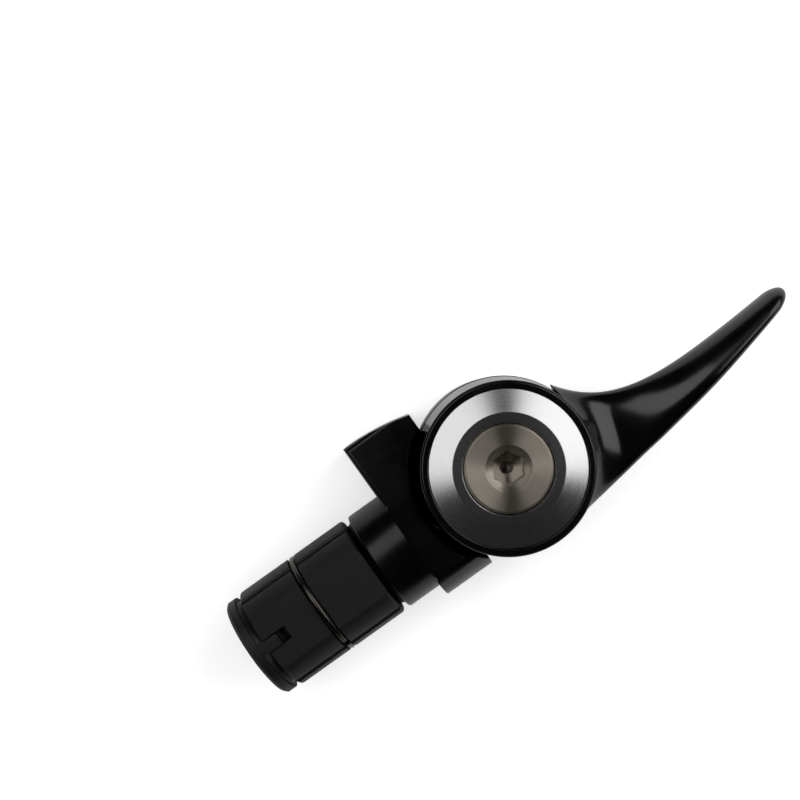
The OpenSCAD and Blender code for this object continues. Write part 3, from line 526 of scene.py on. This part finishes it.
def housing_casting():
    """The cast housing. Collar and cable lug share one flat top beside the drum, rounded into
    the collar's far side, and the pocket round the lever's head has a soft crest."""
    collar_r, top, lug_side = 11.2, 8.4, 19.1
    inner_r = collar_r - 0.01
    side_r, lug_edge_r, front_r, lug_end_r = 3, 1.2, 0.9, 45
    side = (-math.sqrt((collar_r - side_r) ** 2 - (top - side_r) ** 2), top - side_r)
    turn = math.degrees(math.atan2(side[1], side[0]))
    section = (arc(side, side_r, turn, 90)
               + arc((lug_side - lug_edge_r, top - lug_edge_r), lug_edge_r, 90, 0)
               + [(lug_side, 0), (0, 0), (-inner_r, 0)]
               + arc((0, 0), inner_r, 180, turn, 10)[1:-1])
    above = (arc(side, side_r, turn, 90) + [(25, top), (25, 20), (-25, 20)]
             + [(-25, side[1] + side_r * math.sin(math.radians(turn)))])
    plan = ([(0, -12), (9.2, -12), (9.2, 9), (12.2, 9)]
            + [(lug_end_r * math.sin(math.radians(a)),
                lug_side - lug_end_r + lug_end_r * math.cos(math.radians(a)))
               for a in (15.72, 13, 10, 7, 4, 2, 0)])
    profile = ([(0, -1)] + arc((front_r, top - front_r), front_r, 180, 90)
               + [(13, top), (13, -1)])

    def across_plug(a, b, h):
        return (h, a, b)

    block = prism(section, across_plug, -0.5, 14)
    block = combined(block, prism(plan, lambda a, b, h: (a, b, h), -3, 12), "INTERSECT")
    block = combined(block, prism(profile, lambda a, b, h: (a, h, b), -14, 22), "INTERSECT")
    block = combined(block, lathe([(0.1, -5), (15.0, -5), (15.0, 15), (0.1, 15)]), "DIFFERENCE")
    mesh = merged("housing")
    mesh = combined(mesh, prism(above, across_plug, 0.0, 9.6), "DIFFERENCE")
    mesh = combined(mesh, block, "UNION")
    pocket = ([(0.1, 3.2)] + arc((14.8, 4.0), 0.8, -90, 0)
              + arc((16.6, top - 1), 1, 180, 90) + [(16.6, 14), (0.1, 14)])
    mesh = combined(mesh, lathe(pocket, 256), "DIFFERENCE")
    bolt_head = prism(arc((0, 0), 5, 0, 360, 48)[:-1], across_plug, -0.3, 8.8)
    mesh = combined(mesh, bolt_head, "DIFFERENCE")
    new_piece("housing_casting", shaded(mesh, 28), "housing")


def face_ring():
    """The silver ring on the lever's head: a flat round the bolt, then a broad bevel."""
    profile = eased([(10.0, 12.42), (12.85, 12.42), (12.85, 14.11), (RING_BEVEL_FROM, 15.195),
                     (7.57, 15.195), (7.38, 15.0), (7.38, 12.42), (10.0, 12.42)], 0.05, 2, 0.05)
    bm = new_bmesh()
    skin(bm, turned(profile, 256), capped=False)
    bmesh.ops.remove_doubles(bm, verts=bm.verts, dist=1e-7)
    new_piece("face_ring_turned", to_mesh("face_ring_turned", bm, 20), "face_ring")


def hexagon_radius(angle, across_flats):
    """Distance from a hexagon's centre to its side, seen at an angle."""
    return across_flats / 2 / math.cos((angle % (math.pi / 3)) - math.pi / 6)


def cap_bolt():
    """The pivot's cap bolt: turned face, countersunk mouth, hex socket and its pilot hole."""
    steps, across_flats = 192, 5.0
    mouth_r, mouth_z, mouth_slope = 3.8, 14.88, 0.89
    outside = eased([(0.3, -9.9), (2.95, -9.9), (2.95, -3.6), (4.4, -3.6), (4.4, 12.8),
                     (7.25, 12.8), (7.25, 14.65), (6.9, 15.0), (mouth_r, mouth_z), (3.1, 14.2)],
                    0.08, 2, 0.05)
    rings = turned(outside, steps)

    def mouth(r):
        return mouth_z - (mouth_r - r) * mouth_slope

    def socket_ring(height, least=0.0):
        ring = []
        for k in range(steps):
            a = 2 * math.pi * k / steps
            r = max(hexagon_radius(a, across_flats), least)
            ring.append((PIVOT_X + r * math.cos(a), PIVOT_Y + r * math.sin(a), height(r)))
        return ring

    rings.append(socket_ring(mouth, 2.95))
    for height in (mouth, lambda r: mouth(r) - 0.05, lambda r: 10.05, lambda r: 10.0):
        rings.append(socket_ring(height))
    rings += turned([(2.3, 9.95), (1.15, 9.6), (1.05, 9.5), (1.05, 5.8), (0.1, 5.5)], steps)
    bm = new_bmesh()
    skin(bm, rings)
    new_piece("cap_bolt_turned", to_mesh("cap_bolt_turned", bm, 24), "cap_bolt")


# The lever: t runs from 0 at the head to 1 at the tip of the arm
ARM_FROM, ARM_TO = 6.8, 54.2
HEAD_R, HEAD_RIM_R, HEAD_Z, RIM_TOP_Z = 15.0, 14.2, 3.7, 14.4


def ease(t):
    """A smooth step from 0 to 1."""
    s = min(1.0, max(0.0, t))
    return s * s * (3 - 2 * s)


def arm_low(t):
    """The arm's lower outline seen from above: its distance across from the pivot, in mm."""
    return -13.55 + 5.7 * t + 3.5 * t * t


def arm_left(t):
    """The arm's upper outline, which sweeps out of the head and stays within its rim."""
    u = ARM_FROM + (ARM_TO - ARM_FROM) * t
    edge = max(-4.87 + 3.7 * t + 29.65 * math.exp(-6.58 * t), arm_low(t) + 1)
    if u < HEAD_R - 1.2:
        edge = min(edge, math.sqrt((HEAD_R - 0.4) ** 2 - u * u))
    return edge


def tip_close(t, length):
    """How full the section is: 1 along the arm, closing to the tip over a length in mm."""
    run = ARM_TO - ARM_FROM
    return math.sqrt(max(0.0006, 1 - max(0.0, 1 - (1 - t) * run / length) ** 2))


def hollow(r):
    """Height that the round hollow between head and arm adds, at radius r from the pivot."""
    d = min(6.6, 1 + max(0.0, r - HEAD_RIM_R))
    return 6.6 - math.sqrt(d * (13.2 - d))


def arm_point(t, angle):
    """A point of the arm's skin, by station and by angle round its section. Points that would
    lie deep in the head stay inside its wall."""
    in_wall_r = 13.9
    crest = RIM_TOP_Z - 5.2 + 3.4 * ease((t - 0.22) / 0.42) - 0.6 * ease((t - 0.6) / 0.4)
    foot = HEAD_Z + 0.3 + 1.1 * ease(t)
    waist = foot + (0.45 - 0.12 * ease(t / 0.4)) * (crest - foot)
    lean = 0.15 + 0.35 * ease((t - 0.12) / 0.25) - 0.1 * ease((t - 0.6) / 0.4)
    flatness = 0.5 + 0.5 * ease((t - 0.18) / 0.25)
    c, s = math.cos(angle), math.sin(angle)
    middle = (arm_left(t) + arm_low(t)) / 2
    half = (arm_left(t) - arm_low(t)) / 2 * tip_close(t, 3.4)
    if s >= 0:
        v = middle + half * (c - lean * s * s)
        z = waist + (crest - waist) * tip_close(t, 5.5) * s ** flatness
    else:
        v = middle + half * math.copysign(abs(c) ** 0.75, c)
        z = waist - (waist - foot) * tip_close(t, 5.5) * abs(s) ** 0.75
    u = ARM_FROM + (ARM_TO - ARM_FROM) * t
    r = math.hypot(u, v)
    z += hollow(r) * max(0.0, s) ** 0.45
    if r < in_wall_r:
        u, v = (u * in_wall_r / r, v * in_wall_r / r) if r > 0 else (in_wall_r, 0.0)
    return (PIVOT_X + u, PIVOT_Y + v, z)


def shift_lever():
    """The forged lever: a cup-shaped head and a thumb arm whose crest leans to its outer edge.
    The arm starts inside the head's wall, and three screw pillars stand in the cup."""
    bm = new_bmesh()
    sides, stations = 160, 200
    rings = []
    for i in range(stations + 1):
        t = -0.03 + 1.03 * (1 - math.cos(math.pi * i / stations)) / 2
        rings.append([arm_point(min(t, 1.0), 2 * math.pi * (k + 0.5) / sides)
                      for k in range(sides)])
    skin(bm, rings)
    head = eased([(10.0, 10.4), (12.6, 10.4), (12.6, 4.7), (13.7, 4.7), (13.7, 3.7),
                  (14.5, 3.7), (14.98, 4.2), (14.22, 14.08), (13.87, 14.4), (12.95, 14.4),
                  (12.95, 12.4), (10.0, 12.4)], 0.12, 3, 0.05)
    hub = eased([(10.0, 12.4), (6.6, 12.4), (6.6, 4.75), (7.8, 4.75), (7.8, 10.4), (10.0, 10.4)],
                0.05, 2, 0.05)
    skin(bm, turned(head + hub[1:], 256), capped=False)
    for turn in SCREW_TURNS:
        a = math.radians(turn)
        centre = (PIVOT_X + SCREW_CIRCLE_R * math.cos(a), PIVOT_Y + SCREW_CIRCLE_R * math.sin(a))
        skin(bm, turned([(1.95, 10.45), (1.95, 4.7), (1.0, 4.7), (1.0, 9.2)], 48, centre))
    bmesh.ops.remove_doubles(bm, verts=bm.verts, dist=1e-7)
    new_piece("shift_lever_forged", to_mesh("shift_lever_forged", bm, 34), "shift_lever")


# Floor and light
TABLE_GLOW = 0.5
TABLE_GLOW_IN_METAL = 0.04
ROOM_LIGHT = 0.015


def studio():
    """A white table that keeps a faint shadow, in a dark room with a white horizon."""
    half = 3.0
    mesh = bpy.data.meshes.new("table")
    corners = [(x * half, y * half, BACK_Z) for x, y in ((-1, -1), (1, -1), (1, 1), (-1, 1))]
    mesh.from_pydata(corners, [], [(0, 1, 2, 3)])
    table = put("table", mesh)
    material, tree = start_material("white_table")
    ray = add(tree, "ShaderNodeLightPath")
    mirrored = add(tree, "ShaderNodeMath", [(0, ray, "Is Glossy Ray"),
                                            (1, ray, "Is Transmission Ray")], operation="MAXIMUM")
    in_metal = add(tree, "ShaderNodeMath", [(0, mirrored, 0)], operation="MULTIPLY",
                   _1=TABLE_GLOW_IN_METAL)
    seen = add(tree, "ShaderNodeMath", [(0, ray, "Is Camera Ray")], operation="MULTIPLY",
               _1=TABLE_GLOW)
    level = add(tree, "ShaderNodeMath", [(0, seen, 0), (1, in_metal, 0)], operation="ADD")
    glow = add(tree, "ShaderNodeEmission", [("Strength", level, 0)], Color=linear("FFFFFF"))
    paper = add(tree, "ShaderNodeBsdfDiffuse", Color=linear("F0F0F0"))
    both = add(tree, "ShaderNodeAddShader", [(0, paper, 0), (1, glow, 0)])
    add(tree, "ShaderNodeOutputMaterial", [("Surface", both, 0)])
    mesh.materials.append(material)

    world = bpy.data.worlds.new("studio_room")
    bpy.context.scene.world = world
    world.use_nodes = True
    tree = world.node_tree
    tree.nodes.clear()
    ray = add(tree, "ShaderNodeLightPath")
    room = add(tree, "ShaderNodeBackground", Color=linear("FFFFFF"), Strength=ROOM_LIGHT)
    white = add(tree, "ShaderNodeBackground", Color=linear("FFFFFF"), Strength=1.0)
    both = add(tree, "ShaderNodeMixShader", [(0, ray, "Is Camera Ray"), (1, room, 0),
                                             (2, white, 0)])
    add(tree, "ShaderNodeOutputWorld", [("Surface", both, 0)])


def panel(name, turn, height, away_mm, size_mm, watts, only_diffuse=False):
    """A lamp panel that looks at the part: turn 0 is to the picture's right and 90 to its top,
    height is the angle over the table."""
    data = bpy.data.lights.new(name, "AREA")
    data.shape = "RECTANGLE"
    data.size = size_mm[0] * MM
    data.size_y = size_mm[1] * MM
    data.energy = watts
    lamp = put(name, data)
    a, e = math.radians(turn - PICTURE_TURN), math.radians(height)
    aim = Vector((20.0, 0.0, 5.0)) * MM
    lamp.location = aim + Vector((math.cos(a) * math.cos(e), math.sin(a) * math.cos(e),
                                  math.sin(e))) * away_mm * MM
    lamp.rotation_euler = (aim - lamp.location).to_track_quat("-Z", "Y").to_euler()
    lamp.visible_camera = False
    lamp.visible_glossy = not only_diffuse


set_camera()
for name, cad_node in frame["nodes"].items():
    dress(cad_node, SLOT_OF[name])
for name in ("jaw_1", "jaw_2", "jaw_3", "wedge_nut"):
    new_piece(name + "_smooth", merged(name, 28), name)
springs_and_screws()
housing_casting()
face_ring()
cap_bolt()
shift_lever()
studio()
panel("softbox_left", 151.5, 59, 420, (400, 216), 0.47)
panel("softbox_right", 31, 42, 420, (420, 390), 1.06)
panel("ceiling_fill", 90, 89.9, 900, (900, 900), 3.4, True)
